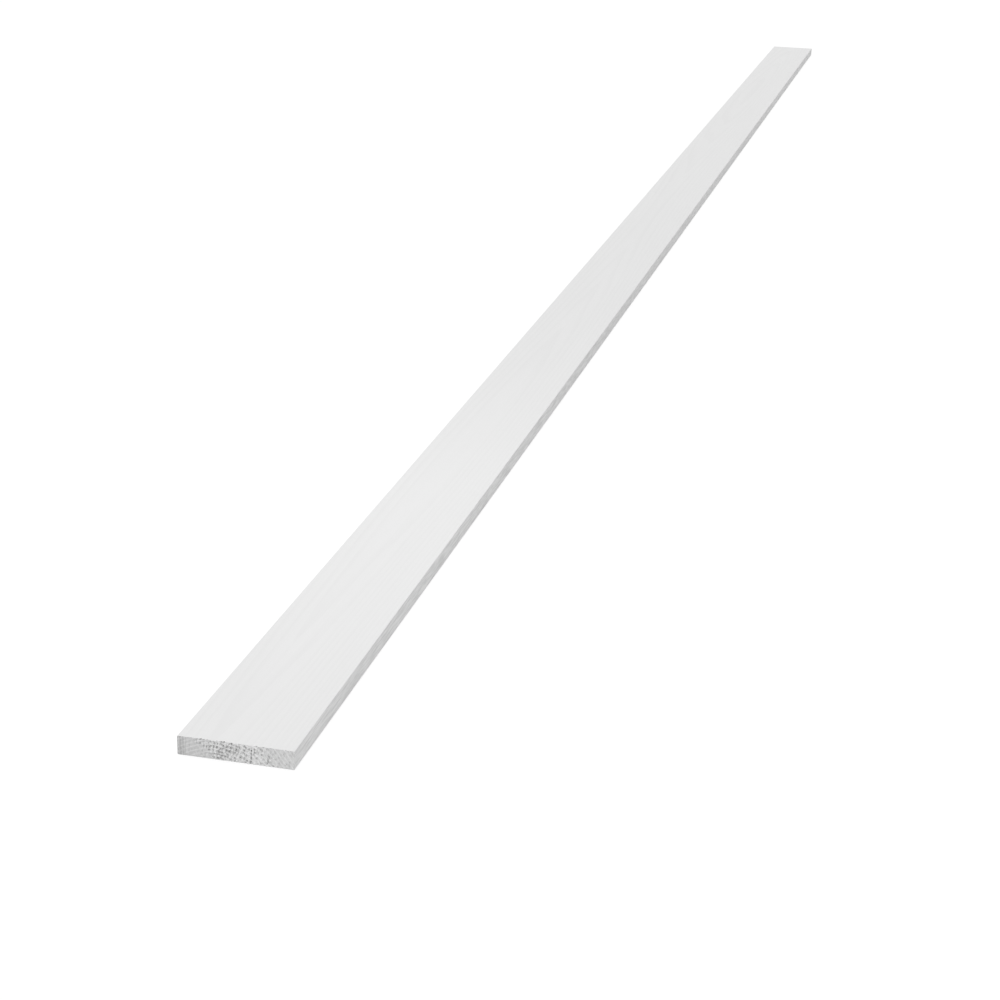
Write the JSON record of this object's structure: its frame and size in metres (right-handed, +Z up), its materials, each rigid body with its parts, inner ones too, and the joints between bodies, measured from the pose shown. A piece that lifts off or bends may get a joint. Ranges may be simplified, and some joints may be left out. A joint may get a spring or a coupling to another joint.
{
  "type": "pine trim board",
  "caption": "Long flat rectangular board of white-primed pine with slightly eased long edges, fixed as trim round openings, corners, walls and eaves.",
  "frame": {"origin": "centre of the back face, which lies on the floor at Z = 0", "axes": "+X along the board's length, +Y across its width, +Z up through its thickness, out of the face that shows"},
  "size_m": [4.8768, 0.1142, 0.0191],
  "materials": {
    "primed_pine": "matte"
  },
  "bodies": {
    "root": {"trim_board": "primed_pine"}
  },
  "joints": []
}
